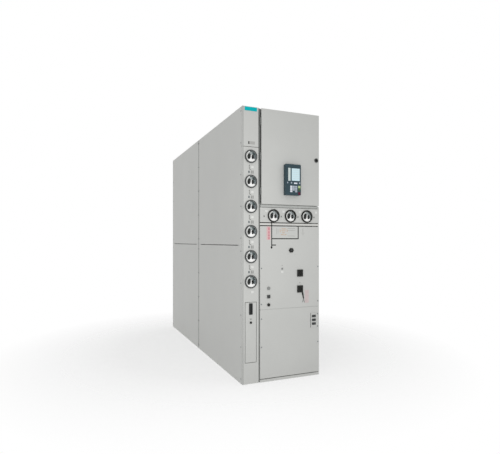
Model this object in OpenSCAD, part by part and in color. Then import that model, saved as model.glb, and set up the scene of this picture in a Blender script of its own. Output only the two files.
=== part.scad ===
// Medium-voltage switchgear panel: one gas-insulated double-busbar panel with
// its left end wall. Folded sheet-steel covers stand on a base frame and posts.
// The low-voltage compartment at the top front has a hinged door with a relay.
// +X runs to the right along the front, +Y into the depth, +Z up.
// The origin is on the floor, in the middle of the four anchor holes.

/* [Cabinet] */
// Height of the cabinet above the floor
cabinet_h = 2350; // [2200:10:2700]
// Depth of the cabinet, front cover to rear cover
cabinet_d = 2660; // [2300:10:2900]
// Width of the panel beside the end wall
panel_w = 600; // [580:5:800]
// Width of the end wall's front strip
strip_w = 150; // [145:1:200]
// Thickness of the sheet steel
sheet_t = 3; // [2:0.5:4]
// Depth of the folded edge round every cover
fold = 18; // [16:1:24]
// Height of the clear space under the covers
floor_clear = 3; // [2:0.5:6]

/* [Seams] */
// Shadow gap between the front strip and the panel
strip_gap = 14; // [10:1:16]
// Gap between neighbouring covers
seam = 4; // [2:0.5:6]
// Gap above and below the light band
band_gap = 8; // [3:0.5:10]
// Gap between the folded front strip and the left side covers
corner_seam = 3; // [1:0.5:5]
// Gap between the side covers of the front and the rear module
module_gap = 14; // [4:1:20]
// Height of the level seam in the sides and the rear
level_seam = 6; // [2:0.5:8]
// Length at each end of a side cover where its level seam is closed
seam_stop = 74; // [40:1:120]

/* [Side covers] */
// Height of the level seam's middle over the floor
side_split_z = 1175; // [900:5:1400]
// Depth of the front module, at the upright seam in the sides
front_module_d = 1330; // [1000:10:1500]

/* [Base frame and posts] */
// Height of the base frame
base_h = 26; // [20:1:60]
// Width of a base rail
base_w = 70; // [60:1:80]
// Depth of the kick plate in front of the base frame
kick_t = 16; // [6:1:16]
// Distance of the kick plate's top below the base frame's
kick_drop = 3; // [0:0.5:6]
// Side of a square post
post = 40; // [30:1:50]
// Diameter of an anchor hole
anchor_d = 14; // [10:0.5:18]
// Distance of an anchor hole from the end of its rail
anchor_inset = 110; // [90:5:300]

/* [Front covers] */
// Height of the cable compartment cover
cable_cover_h = 590; // [520:5:640]
// Height of the operating panel
operating_h = 716; // [700:4:760]
// Height of the light band over the operating panel
band_h = 18; // [14:1:40]
// Height of the panel that holds the feeder gauges
gauge_panel_h = 126; // [120:1:150]
// Height of the sill under the low-voltage door
sill_h = 20; // [12:1:40]
// Set-back of the sill behind the covers
sill_inset = 10; // [4:1:14]
// Height of the sill's lip behind the door
sill_lip = 14; // [8:1:20]

/* [Gauges] */
// Outer diameter of a gauge bezel
gauge_d = 112; // [90:1:116]
// Height of a bezel over its cover
gauge_proud = 12; // [8:1:20]
// Width of a bezel's rim
gauge_rim = 10; // [5:0.5:14]
// Height of the dial over the cover
dial_rise = 5; // [1:0.5:6]
// Diameter of the gauge body behind the cover
gauge_body_d = 88; // [60:1:88]
// Length of the gauge body behind the cover
gauge_body_len = 15; // [8:1:15]
// Clear space round a gauge body in its hole
gauge_clear = 0.3; // [0.1:0.1:0.8]
// Number of gauges in the end wall's column
column_count = 6; // [2:1:6]
// Distance of the gauge column from the outer left face
strip_axis = 78; // [70:1:78]
// Height of the lowest gauge in the column
column_z = 868; // [840:2:900]
// Distance of the highest gauge in the column from the strip's seam
column_drop = 82; // [70:1:120]
// Number of feeder gauges in the gauge panel
feeder_count = 3; // [1:1:3]
// Distance of the first feeder gauge from the panel's left side
feeder_x = 141; // [100:1:145]
// Distance of the feeder gauges below the middle of their panel
feeder_drop = 6; // [0:1:6]
// Spacing of the feeder gauges
feeder_pitch = 165; // [125:1:180]

/* [End strip] */
// Height of the front strip's top cover
strip_top_h = 338; // [240:2:360]
// Width of the name plate
plate_w = 112; // [60:1:120]
// Height of the name plate
plate_h = 32; // [20:1:40]
// Thickness of the name plate
plate_t = 2; // [1:0.5:4]
// Distance of the name plate from the top
plate_drop = 4; // [2:1:100]
// Width of the access cover
access_w = 99; // [90:1:104]
// Height of the access cover
access_h = 507; // [400:1:540]
// Height of the access cover's lower edge
access_z = 184; // [120:1:200]
// Gap round the access cover
access_gap = 4.5; // [1.5:0.5:5]
// Width of the ledge that the access cover seats on
access_ledge = 8; // [5:1:10]
// Width of the grip in the access cover
grip_w = 35; // [28:1:44]
// Height of the grip
grip_h = 98; // [70:1:120]
// Distance of the grip from the cover's upper edge
grip_drop = 6; // [4:1:60]
// Corner radius of the grip
grip_r = 7; // [2:0.5:12]
// Width of the grip's flange
grip_flange = 5; // [3:0.5:7]
// Clear space round the grip in its cut-out
grip_clear = 0.3; // [0.1:0.1:0.6]
// Diameter of the access cover's lock
access_lock_d = 20; // [14:1:30]
// Distance of that lock from the cover's upper edge
access_lock_drop = 170; // [140:2:300]
// Depth of the key hole in that lock
access_key_depth = 3; // [1:0.5:4]

/* [Operating panel] */
// Width of a breaker button's frame
button_w = 56; // [46:1:70]
// Height of a breaker button's frame
button_h = 62; // [50:1:64]
// Distance of the breaker buttons from the panel's left side
button_x = 402; // [360:1:440]
// Height of the lower breaker button over the cover's lower edge
button_z = 162; // [140:1:180]
// Spacing of the breaker buttons
button_pitch = 141; // [100:1:160]
// Height of a breaker button's frame over the cover
button_proud = 9; // [7:1:16]
// Diameter of the round well in a breaker button
button_well_d = 34; // [24:1:38]
// Depth of that well
button_well = 5; // [2:0.5:6]
// Width of the hexagonal shaft cover
shaft_w = 48; // [36:1:70]
// Height of the hexagonal shaft cover
shaft_h = 38; // [30:1:60]
// Length of its pointed ends
shaft_point = 12; // [6:1:16]
// Height of the shaft cover over the panel
shaft_proud = 8; // [4:1:16]
// Distance of the shaft cover from the panel's left side
shaft_x = 314; // [240:1:340]
// Height of the shaft cover over the cover's lower edge
shaft_z = 506; // [440:2:560]
// Diameter of a status button
status_d = 27; // [20:1:34]
// Height of a status button over the panel
status_proud = 7; // [3:1:14]
// Distance of the status buttons from the panel's left side
status_x = 94; // [70:1:120]
// Height of the lowest status button over the cover's lower edge
status_z = 38; // [25:1:60]
// Spacing of the status buttons
status_pitch = 71; // [45:1:90]
// Length of the locking lever
lever_l = 58; // [50:1:90]
// Radius of the lever's upper end
lever_r = 7; // [5:0.5:9]
// Radius of the lever's lower end
lever_tip_r = 4; // [3:0.5:6]
// Sideways lean of the lever
lever_lean = 9; // [0:1:20]
// Distance of the lever's pivot from the button's corner
lever_out = 6; // [0:1:10]
// Thickness of the lever
lever_t = 5; // [3:0.5:8]

/* [Voltage taps] */
// Width of the tap plate
tap_plate_w = 76; // [66:1:90]
// Height of the tap plate
tap_plate_h = 130; // [120:1:160]
// Thickness of the tap plate
tap_plate_t = 4; // [2:0.5:6]
// Distance of the tap plate from the right side
tap_plate_inset = 10; // [8:1:40]
// Distance of the tap plate from the cable cover's upper edge
tap_plate_drop = 57; // [30:1:150]
// Width of a tap socket
tap_w = 38; // [30:1:50]
// Height of a tap socket
tap_h = 20; // [14:1:24]
// Spacing of the tap sockets
tap_pitch = 34; // [30:1:38]
// Distance of the sockets left of the plate's middle
tap_shift = 8; // [0:1:10]
// Distance of the sockets over the plate's middle
tap_rise = 3; // [0:1:8]
// Height of a tap socket over the cover
tap_proud = 7; // [5:0.5:10]
// Depth of the slot in a tap socket
tap_slot = 4; // [2:0.5:4.5]
// Wall round that slot
tap_wall = 4; // [2:0.5:6]
// Clear space round a tap socket in its window
tap_clear = 0.3; // [0.1:0.1:0.6]

/* [Low-voltage compartment] */
// Depth of the compartment behind the covers
lv_depth = 446; // [350:2:600]
// Gap between the front strip and the door, where the hinges are
hinge_gap = 28; // [28:1:32]
// Clear space between the door and fixed pieces
door_clear = 6; // [5:0.5:8]
// Number of hinges
hinge_count = 3; // [2:1:4]
// Distance of the outer hinges from the door's ends
hinge_inset = 110; // [80:5:160]
// Length of one hinge knuckle
knuckle_l = 30; // [20:1:50]
// Radius of a hinge knuckle
knuckle_r = 6; // [5:0.25:7]
// Radius of a hinge pin
hinge_pin_r = 3; // [2:0.25:4]
// Running clearance of a hinge pin
hinge_clear = 0.08; // [0.04:0.01:0.1]
// Gap between two knuckles
knuckle_gap = 1; // [0.5:0.25:2]

/* [Relay] */
// Width of the relay's front
relay_w = 150; // [120:1:220]
// Height of the relay's front
relay_h = 269; // [200:1:320]
// Height of the relay's front over the door
relay_proud = 40; // [20:1:60]
// Distance of the relay from the door's left edge
relay_x = 212; // [150:1:260]
// Distance of the relay from the door's lower edge
relay_z = 83; // [60:1:400]
// Depth of the relay behind the door's face
relay_rear = 160; // [100:1:220]
// Step from the relay's front to its body, all round
relay_step = 8; // [5:1:15]
// Corner radius of the relay's front
relay_r = 7; // [3:1:12]
// Clear space round the relay body in its cut-out
relay_clear = 0.3; // [0.1:0.1:0.8]
// Margin of the screen window at the sides of the relay's front
screen_margin = 10; // [8:1:30]
// Distance of the screen window from the top of the relay's front
screen_drop = 31; // [14:1:50]
// Height of the screen window
screen_h = 116; // [80:1:140]
// Depth of the screen window
screen_depth = 3; // [1:0.5:6]

/* [Door lock] */
// Diameter of the lock's rosette
rosette_d = 38; // [32:1:44]
// Height of the rosette over the door
rosette_t = 5; // [3:0.5:8]
// Diameter of the lock's housing in the door
lock_body_d = 28; // [24:1:30]
// Diameter of the turning key insert
insert_d = 20; // [14:1:21]
// Running clearance of the key insert
insert_clear = 0.08; // [0.04:0.01:0.1]
// Distance of the lock from the door's right edge
lock_inset = 30; // [26:1:60]
// Diameter of the spindle behind the insert
spindle_d = 10; // [6:0.5:12]
// Reach of the tongue from the lock's axis
tongue_l = 19; // [17:0.5:20]
// Width of the tongue
tongue_w = 12; // [8:1:14]
// Thickness of the tongue
tongue_t = 4; // [3:0.5:6]
// Clear space between the tongue and the lip that it turns behind
tongue_clear = 5; // [5:0.5:8]
// Width of the key pin in the insert
key_pin_d = 5; // [3:0.5:6]
// Depth of the well round the key pin
key_well = 8; // [4:0.5:10]

/* [Hidden] */
$fn = 64;
eps = 0.5;

cabinet_w = strip_w + panel_w;
inner_h = cabinet_h - sheet_t;
panel_x = strip_w + strip_gap;
door_back = fold + door_clear;

// The gauge column, from the strip's seam down
strip_split_z = cabinet_h - strip_top_h - seam / 2;
column_pitch = (strip_split_z - column_drop - column_z) / (column_count - 1);

// Heights of the front covers, from the floor up
cable_z = base_h + seam;
operating_z = cable_z + cable_cover_h + seam;
band_z = operating_z + operating_h + band_gap;
gauge_panel_z = band_z + band_h + band_gap;
sill_z = gauge_panel_z + gauge_panel_h + seam;
door_z = sill_z + sill_h + door_clear;
door_x = strip_w + hinge_gap;
door_w = cabinet_w - door_x;
door_h = cabinet_h - door_z;

// The middle front post fills the shadow gap and carries strip, panel and hinges
middle_post_x = door_x - door_clear - post;
hinge_x = door_x - knuckle_r - sheet_t;
hinge_y = fold / 2;
hinge_span = door_h - 2 * hinge_inset;

lock_x = cabinet_w - lock_inset;
lock_z = door_h / 2;
tongue_y = door_back + sheet_t + tongue_clear;

SIDES = ["left", "right"];
MODULES = ["front", "rear"];
LEVELS = ["lower", "upper"];

function side_name(side, part, level) = str(side, "_", part, "_", level, "_side_cover");

// Moves the corner where left, front and floor meet to its place round the origin
module placed() {
    translate([-cabinet_w / 2, -cabinet_d / 2, 0]) children();
}

// A block between two opposite corners
module block(low, high) {
    translate(low) cube(high - low);
}

// Turns what is drawn towards +Z so that it faces the front at (x, z)
module facing_front(x, z, y = 0) {
    translate([x, y, z]) rotate([90, 0, 0]) children();
}

// A cover that faces the front: a sheet with its four edges folded back
module front_tray(x, z, w, h) {
    translate([x, 0, z]) difference() {
        cube([w, fold, h]);
        translate([sheet_t, sheet_t, sheet_t])
            cube([w - 2 * sheet_t, fold, h - 2 * sheet_t]);
    }
}

// A round hole through the face of a front cover
module face_hole(x, z, d) {
    facing_front(x, z, sheet_t + eps) cylinder(d = d, h = sheet_t + 2 * eps);
}

// Base frame: two long rails with anchor holes, three cross rails and a kick plate
module base_side_rails() {
    color("dimgray") placed()
        for (x = [fold, cabinet_w - fold - base_w]) difference() {
            block([x, fold, 0], [x + base_w, cabinet_d - fold, base_h]);
            for (y = [fold + anchor_inset, cabinet_d - fold - anchor_inset])
                translate([x + base_w / 2, y, -eps]) cylinder(d = anchor_d, h = base_h + 2 * eps);
        }
}

module base_cross_rails() {
    x = fold + base_w;
    color("dimgray") placed()
        for (y = [fold, front_module_d - base_w / 2, cabinet_d - fold - base_w])
            block([x, y, 0], [cabinet_w - x, y + base_w, base_h]);
}

module kick_plate() {
    color("silver") placed()
        block([panel_x, fold - kick_t, 0], [cabinet_w, fold, base_h - kick_drop]);
}

// Square posts: the corners, the middle of the front and a pair at the upright seam
module frame_posts() {
    left = fold;
    right = cabinet_w - fold - post;
    seam_posts = [front_module_d - seam / 2 - post, front_module_d + seam / 2];
    color("darkslategray") placed() {
        for (x = [left, right], y = concat(seam_posts, [cabinet_d - fold - post]))
            upright(x, y, inner_h);
        for (x = [left, middle_post_x]) upright(x, fold, inner_h);
        upright(right, fold, sill_z);
    }
}

module upright(x, y, top) {
    block([x, y, base_h], [x + post, y + post, top]);
}

// Side covers: a sheet folded inwards all round; the lower ones close the ends of the seam
module side_cover(side, part, level) {
    front_edge = side == "left" ? fold + corner_seam : door_back;
    y = part == "front" ? front_edge : front_module_d + module_gap / 2;
    end_y = part == "front" ? front_module_d - module_gap / 2 : cabinet_d - fold - corner_seam;
    z = level == "lower" ? floor_clear : side_split_z + level_seam / 2;
    end_z = level == "lower" ? side_split_z - level_seam / 2 : inner_h;
    color("lightgray") placed() on_side(side) {
        difference() {
            block([0, y, z], [fold, end_y, end_z]);
            block([sheet_t, y + sheet_t, z + sheet_t], [fold + eps, end_y - sheet_t, end_z - sheet_t]);
        }
        if (level == "lower")
            for (tab = [y, end_y - seam_stop])
                block([0, tab, end_z], [sheet_t, tab + seam_stop, end_z + level_seam]);
    }
}

// Left as drawn, or mirrored to the right
module on_side(side) {
    if (side == "left") children();
    else translate([cabinet_w, 0, 0]) mirror([1, 0, 0]) children();
}

// Rear covers and roof sheets
module rear_cover(z, h) {
    color("lightgray") placed()
        translate([cabinet_w, cabinet_d, 0]) rotate([0, 0, 180]) front_tray(0, z, cabinet_w, h);
}

module rear_lower_cover() {
    rear_cover(floor_clear, side_split_z - level_seam / 2 - floor_clear);
}

module rear_upper_cover() {
    rear_cover(side_split_z + level_seam / 2, cabinet_h - side_split_z - level_seam / 2);
}

module roof_sheet(y, end_y) {
    color("lightgray") placed() block([0, y, inner_h], [cabinet_w, end_y, cabinet_h]);
}

module front_roof_sheet() {
    roof_sheet(door_back, front_module_d - seam / 2);
}

module rear_roof_sheet() {
    roof_sheet(front_module_d + seam / 2, cabinet_d - fold);
}

// End wall strip: a short top cover, a long cover with gauge holes, and what is set in it
module strip_top_cover() {
    z = strip_split_z + seam / 2;
    color("gainsboro") placed() front_tray(0, z, strip_w, cabinet_h - z);
}

module strip_cover() {
    ledge = access_ledge + access_gap;
    color("gainsboro") placed() difference() {
        union() {
            front_tray(0, floor_clear, strip_w, strip_split_z - seam / 2 - floor_clear);
            access_box(access_gap + sheet_t, 0, fold);
        }
        access_box(access_gap, -eps, fold - sheet_t);
        access_box(access_gap - ledge, 0, fold + eps);
        for (i = [0 : column_count - 1])
            face_hole(strip_axis, column_height(i), gauge_body_d + 2 * gauge_clear);
    }
}

// The access cover's outline grown by a margin, from one depth to another
module access_box(margin, y, end_y) {
    half = access_w / 2 + margin;
    block([strip_axis - half, y, access_z - margin],
          [strip_axis + half, end_y, access_z + access_h + margin]);
}

module name_plate() {
    top = cabinet_h - plate_drop;
    color("darkcyan") placed()
        block([strip_axis - plate_w / 2, -plate_t, top - plate_h], [strip_axis + plate_w / 2, 0, top]);
}

module access_cover() {
    color("gainsboro") placed() difference() {
        access_box(0, 0, fold - sheet_t);
        access_box(-sheet_t, sheet_t, fold);
        grip_box(grip_clear - grip_flange, -eps, fold);
    }
}

// The grip's outline grown by a margin, from one depth to another
module grip_box(margin, y, end_y) {
    top = access_z + access_h - grip_drop;
    r = max(grip_r + margin, 1);
    half = grip_w / 2 + margin - r;
    hull() for (x = [strip_axis - half, strip_axis + half], z = [top - grip_h - margin + r, top + margin - r])
        facing_front(x, z, end_y) cylinder(r = r, h = end_y - y, $fn = 32);
}

module access_grip() {
    well = grip_flange + sheet_t;
    color("black") placed() difference() {
        union() {
            grip_box(0, -sheet_t / 2, 0);
            grip_box(-grip_flange, 0, fold - sheet_t);
        }
        grip_box(-well, -sheet_t, fold - 2 * sheet_t);
    }
}

module access_lock() {
    z = access_z + access_h - access_lock_drop;
    color("black") placed() facing_front(strip_axis, z) difference() {
        cylinder(d = access_lock_d, h = access_key_depth + sheet_t);
        translate([0, 0, sheet_t]) cylinder(d = access_lock_d / 2, h = access_key_depth + eps);
    }
}

function column_height(i) = column_z + (column_count - 1 - i) * column_pitch;
function feeder_place(i) = strip_w + feeder_x + i * feeder_pitch;
function feeder_height() = gauge_panel_z + gauge_panel_h / 2 - feeder_drop;

// A gauge: chamfered bezel, dial set back in it and a body behind the cover
module gauge(x, z) {
    bezel_r = gauge_d / 2;
    dial_r = bezel_r - gauge_rim;
    body_r = gauge_body_d / 2;
    chamfer = gauge_rim / 4;
    facing_front(x, z) rotate_extrude() polygon([
        [0, -gauge_body_len], [body_r, -gauge_body_len], [body_r, 0], [bezel_r, 0],
        [bezel_r, gauge_proud - chamfer], [bezel_r - chamfer, gauge_proud],
        [dial_r, gauge_proud], [dial_r, dial_rise], [0, dial_rise]
    ]);
}

module end_wall_gauges() {
    color("black") placed() for (i = [0 : column_count - 1]) gauge(strip_axis, column_height(i));
}

module feeder_gauges() {
    color("black") placed() for (i = [0 : feeder_count - 1])
        gauge(feeder_place(i), feeder_height());
}

// A cover of the panel, from the shadow gap to the right side
module panel_cover(z, h) {
    front_tray(panel_x, z, cabinet_w - panel_x, h);
}

module cable_cover() {
    color("gainsboro") placed() panel_cover(cable_z, cable_cover_h);
}

// Voltage taps: a plate with a window for each socket
module tap_block(margin, i, y, end_y) {
    x = cabinet_w - tap_plate_inset - tap_plate_w / 2 - tap_shift;
    z = cable_z + cable_cover_h - tap_plate_drop - tap_plate_h / 2 + tap_rise + (i - 1) * tap_pitch;
    block([x - tap_w / 2 - margin, y, z - tap_h / 2 - margin],
          [x + tap_w / 2 + margin, end_y, z + tap_h / 2 + margin]);
}

module tap_plate() {
    right = cabinet_w - tap_plate_inset;
    top = cable_z + cable_cover_h - tap_plate_drop;
    color("gainsboro") placed() difference() {
        block([right - tap_plate_w, -tap_plate_t, top - tap_plate_h], [right, 0, top]);
        for (i = [0 : 2]) tap_block(tap_clear, i, -tap_plate_t - eps, eps);
    }
}

module tap_sockets() {
    color("black") placed() for (i = [0 : 2]) difference() {
        tap_block(0, i, -tap_proud, 0);
        tap_block(-tap_wall, i, -tap_proud - eps, tap_slot - tap_proud);
    }
}

module operating_panel() {
    color("gainsboro") placed() panel_cover(operating_z, operating_h);
}

// Breaker buttons: square frames with a round well
function button_height(i) = operating_z + button_z + i * button_pitch;

module breaker_buttons() {
    color("black") placed() for (i = [0, 1])
        facing_front(strip_w + button_x, button_height(i)) difference() {
            translate([-button_w / 2, -button_h / 2, 0]) cube([button_w, button_h, button_proud]);
            translate([0, 0, button_proud - button_well]) cylinder(d = button_well_d, h = button_well + eps);
        }
}

module shaft_cover() {
    half = shaft_w / 2;
    flat = half - shaft_point;
    color("black") placed() facing_front(strip_w + shaft_x, operating_z + shaft_z)
        linear_extrude(shaft_proud) polygon([
            [-half, 0], [-flat, -shaft_h / 2], [flat, -shaft_h / 2],
            [half, 0], [flat, shaft_h / 2], [-flat, shaft_h / 2]
        ]);
}

module status_buttons() {
    color("black") placed() for (i = [0 : 2])
        facing_front(strip_w + status_x, operating_z + status_z + i * status_pitch)
            cylinder(d = status_d, h = status_proud);
}

// A lever that hangs from the lower right corner of the lower breaker button
module locking_lever() {
    x = strip_w + button_x + button_w / 2 - lever_r + lever_out;
    z = button_height(0) - button_h / 2 - lever_r;
    color("black") placed() facing_front(x, z) hull() {
        cylinder(r = lever_r, h = lever_t, $fn = 32);
        translate([lever_lean, lever_r + lever_tip_r - lever_l, 0])
            cylinder(r = lever_tip_r, h = lever_t, $fn = 32);
    }
}

module light_band() {
    color("whitesmoke") placed() panel_cover(band_z, band_h);
}

module gauge_panel() {
    color("gainsboro") placed() difference() {
        panel_cover(gauge_panel_z, gauge_panel_h);
        for (i = [0 : feeder_count - 1])
            face_hole(feeder_place(i), feeder_height(), gauge_body_d + 2 * gauge_clear);
    }
}

// Low-voltage compartment: a box of sheets behind the door
module door_sill() {
    left = middle_post_x + post;
    top = sill_z + sill_h;
    foot = [left + 2 * sheet_t, door_back - sheet_t, sill_z + 2 * sheet_t];
    lip_right = cabinet_w - fold - sheet_t;
    color("gray") placed() {
        block([left, sill_inset, sill_z], [cabinet_w, door_back, top]);
        block(foot, [lip_right, door_back + sheet_t, top]);
        block([foot.x, door_back, foot.z], [lip_right, door_back + sheet_t, top + sill_lip]);
    }
}

module lv_floor() {
    end_y = door_back + lv_depth;
    top = sill_z + sheet_t;
    color("lightgray") placed() {
        block([middle_post_x + post, door_back, sill_z], [cabinet_w - fold, end_y, top]);
        block([cabinet_w - fold, door_back + sheet_t, sill_z], [cabinet_w - sheet_t, end_y, top]);
    }
}

module lv_back_wall() {
    y = door_back + lv_depth;
    color("lightgray") placed()
        block([middle_post_x + post, y - sheet_t, sill_z + sheet_t], [cabinet_w - sheet_t, y, inner_h - sheet_t]);
}

module lv_side_walls() {
    left = middle_post_x + post;
    right = cabinet_w - 2 * sheet_t;
    end_y = door_back + lv_depth - sheet_t;
    color("lightgray") placed() {
        block([left, door_back, sill_z + sheet_t], [left + sheet_t, end_y, inner_h]);
        block([right, door_back + sheet_t, sill_z + sheet_t], [right + sheet_t, end_y, inner_h - sheet_t]);
    }
}

// Hinges: a knuckle with its pin on the post, and a bored knuckle on the door
function hinge_height(i) = door_z + hinge_inset + i * hinge_span / (hinge_count - 1);

module hinge_pins() {
    foot_x = hinge_x - knuckle_r;
    color("darkslategray") placed() for (i = [0 : hinge_count - 1])
        translate([0, 0, hinge_height(i)]) {
            translate([hinge_x, hinge_y, -knuckle_l]) {
                cylinder(r = knuckle_r, h = knuckle_l - knuckle_gap / 2);
                cylinder(r = hinge_pin_r, h = 2 * knuckle_l);
            }
            block([foot_x, hinge_y, -knuckle_l], [middle_post_x + post, fold, -knuckle_gap / 2]);
        }
}

module hinge_knuckles() {
    leaf = knuckle_r / 2;
    color("darkslategray") placed() for (i = [0 : hinge_count - 1])
        translate([0, 0, hinge_height(i) + knuckle_gap / 2]) difference() {
            union() {
                translate([hinge_x, hinge_y, 0]) cylinder(r = knuckle_r, h = knuckle_l - knuckle_gap / 2);
                block([hinge_x, hinge_y - leaf, 0], [door_x, hinge_y + leaf, knuckle_l - knuckle_gap / 2]);
            }
            translate([hinge_x, hinge_y, -eps])
                cylinder(r = hinge_pin_r + hinge_clear, h = knuckle_l + 2 * eps);
        }
}

// Door: a folded cover with cut-outs for the relay's body and the lock's housing
module lv_door() {
    color("gainsboro") placed() difference() {
        front_tray(door_x, door_z, door_w, door_h);
        relay_box(relay_clear - relay_step, -eps, fold);
        face_hole(lock_x, door_z + lock_z, lock_body_d);
    }
}

// The relay's outline grown by a margin, from one depth to another
module relay_box(margin, y, end_y) {
    x = door_x + relay_x;
    z = door_z + relay_z;
    block([x - margin, y, z - margin], [x + relay_w + margin, end_y, z + relay_h + margin]);
}

// Relay: a rounded front with a screen window, and a body through the door
module relay() {
    x = door_x + relay_x;
    z = door_z + relay_z;
    color("darkslategray") placed() {
        difference() {
            facing_front(x, z) hull()
                for (cx = [relay_r, relay_w - relay_r], cz = [relay_r, relay_h - relay_r])
                    translate([cx, cz, 0]) cylinder(r = relay_r, h = relay_proud, $fn = 32);
            block([x + screen_margin, -relay_proud - eps, z + relay_h - screen_drop - screen_h],
                  [x + relay_w - screen_margin, screen_depth - relay_proud, z + relay_h - screen_drop]);
        }
        relay_box(-relay_step, 0, relay_rear);
    }
}

// Lock: a rosette with a housing through the door, and an insert that turns in it
module lock_housing() {
    color("black") placed() facing_front(lock_x, door_z + lock_z) difference() {
        union() {
            cylinder(d = rosette_d, h = rosette_t);
            translate([0, 0, -fold]) cylinder(d = lock_body_d, h = fold);
        }
        translate([0, 0, -fold - eps]) cylinder(d = insert_d + 2 * insert_clear, h = fold + rosette_t + 2 * eps);
    }
}

// The insert has a key pin in a well, a spindle and a tongue that points up when unlocked
module lock_insert() {
    color("dimgray") placed() facing_front(lock_x, door_z + lock_z) {
        difference() {
            translate([0, 0, -fold]) cylinder(d = insert_d, h = fold + rosette_t - insert_clear);
            translate([0, 0, rosette_t - key_well]) difference() {
                cylinder(d = insert_d / 2 + key_pin_d / 2, h = key_well + eps);
                translate([0, 0, -eps]) cylinder(d = key_pin_d, h = key_well + 3 * eps);
            }
        }
        translate([0, 0, -tongue_y - tongue_t]) {
            cylinder(d = spindle_d, h = tongue_y + tongue_t - fold);
            translate([-tongue_w / 2, -tongue_w / 2, 0]) cube([tongue_w, tongue_l + tongue_w / 2, tongue_t]);
        }
    }
}

base_side_rails();
base_cross_rails();
kick_plate();
frame_posts();
for (side = SIDES, part = MODULES, level = LEVELS)
    side_cover(side, part, level);
rear_lower_cover();
rear_upper_cover();
front_roof_sheet();
rear_roof_sheet();
strip_top_cover();
strip_cover();
name_plate();
access_cover();
access_grip();
access_lock();
end_wall_gauges();
cable_cover();
tap_plate();
tap_sockets();
operating_panel();
breaker_buttons();
shaft_cover();
status_buttons();
locking_lever();
light_band();
gauge_panel();
feeder_gauges();
door_sill();
lv_floor();
lv_back_wall();
lv_side_walls();
hinge_pins();
lv_door();
hinge_knuckles();
relay();
lock_housing();
lock_insert();
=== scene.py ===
"""Dresses a packed medium-voltage switchgear panel: finishes, dials, mimic, relay, screws and stage."""

import math

import bmesh
import bpy
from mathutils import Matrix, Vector


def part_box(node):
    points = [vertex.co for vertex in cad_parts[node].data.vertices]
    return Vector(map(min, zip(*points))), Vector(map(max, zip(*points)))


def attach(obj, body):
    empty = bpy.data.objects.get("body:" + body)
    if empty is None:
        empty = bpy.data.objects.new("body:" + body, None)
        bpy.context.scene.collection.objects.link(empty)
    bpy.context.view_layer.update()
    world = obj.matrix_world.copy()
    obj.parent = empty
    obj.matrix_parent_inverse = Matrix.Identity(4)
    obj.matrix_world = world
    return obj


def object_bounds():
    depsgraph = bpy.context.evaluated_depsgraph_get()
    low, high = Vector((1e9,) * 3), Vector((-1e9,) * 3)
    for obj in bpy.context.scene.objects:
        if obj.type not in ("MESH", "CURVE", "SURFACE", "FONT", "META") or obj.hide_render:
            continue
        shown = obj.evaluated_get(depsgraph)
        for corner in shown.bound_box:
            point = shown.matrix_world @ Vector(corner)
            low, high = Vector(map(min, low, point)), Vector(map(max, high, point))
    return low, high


bl_info = {
    "name": "Switchgear panel",
    "version": (1, 0, 0),
    "blender": (4, 5, 0),
    "location": "View3D > Sidebar > Switchgear",
    "description": "Finishes and small pieces of a medium-voltage switchgear panel",
    "category": "Object",
}

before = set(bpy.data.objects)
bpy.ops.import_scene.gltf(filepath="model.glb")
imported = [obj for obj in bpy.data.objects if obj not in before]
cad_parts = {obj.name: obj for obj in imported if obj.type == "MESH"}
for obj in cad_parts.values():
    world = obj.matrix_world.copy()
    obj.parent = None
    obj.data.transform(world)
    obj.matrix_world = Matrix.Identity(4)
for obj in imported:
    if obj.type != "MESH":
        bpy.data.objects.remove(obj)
CAD_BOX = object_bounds()

# Millimetres are the unit of every helper below; places and CAD boxes are Vectors in metres
MM = 0.001
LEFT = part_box("strip_cover")[0].x
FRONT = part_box("operating_panel")[0].y
FACING_FRONT = (math.pi / 2, 0, 0)
# Edges that turn more than SHARP are rounded, and faces that turn less than FLAT become one
SHARP = math.radians(40)
FLAT = math.radians(1)
MERGE = 0.01 * MM


def linear(hex_colour):
    """Linear colour of an sRGB hex value such as C8C8C4."""
    parts = [int(hex_colour[i:i + 2], 16) / 255 for i in (0, 2, 4)]
    return tuple(c / 12.92 if c <= 0.04045 else ((c + 0.055) / 1.055) ** 2.4 for c in parts)


def length(name, millimetres, description):
    """A length that a user may change, given in millimetres and kept in metres."""
    return bpy.props.FloatProperty(
        name=name, description=description, default=millimetres * MM, min=0.0, precision=4,
        subtype="DISTANCE", unit="LENGTH")


def colour(name, hex_colour, description):
    """A colour that a user may change, given as sRGB hex."""
    return bpy.props.FloatVectorProperty(
        name=name, description=description, default=linear(hex_colour), min=0.0, max=1.0,
        size=3, subtype="COLOR")


def number(name, value, description, **more):
    """A number that a user may change."""
    return bpy.props.FloatProperty(name=name, description=description, default=value, **more)


def vector(name, values, description, **more):
    """A place or a pair of numbers that a user may change."""
    return bpy.props.FloatVectorProperty(
        name=name, description=description, default=values, size=len(values), **more)


class SwitchgearSizes(bpy.types.PropertyGroup):
    """Sizes of the small pieces."""

    edge: length("Edge radius", 1.2, "Rounding of folded sheet and moulded edges")
    print_t: length("Film thickness", 0.5, "Height of printed lines and labels over a cover")
    line_w: length("Mimic line", 8.5, "Width of a line of the mimic diagram")
    screw_d: length("Screw head", 12.0, "Diameter of a cover screw's head")
    screw_h: length("Screw height", 2.5, "Height of a cover screw's head")
    label_w: length("Label width", 23.0, "Width of a blank label under a gauge")
    label_h: length("Label height", 20.0, "Height of a blank label under a gauge")
    glass_t: length("Gauge glass", 2.0, "Thickness of a gauge's glass")
    gasket: length("Gasket", 5.0, "Width and height of the door's gasket")


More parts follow.
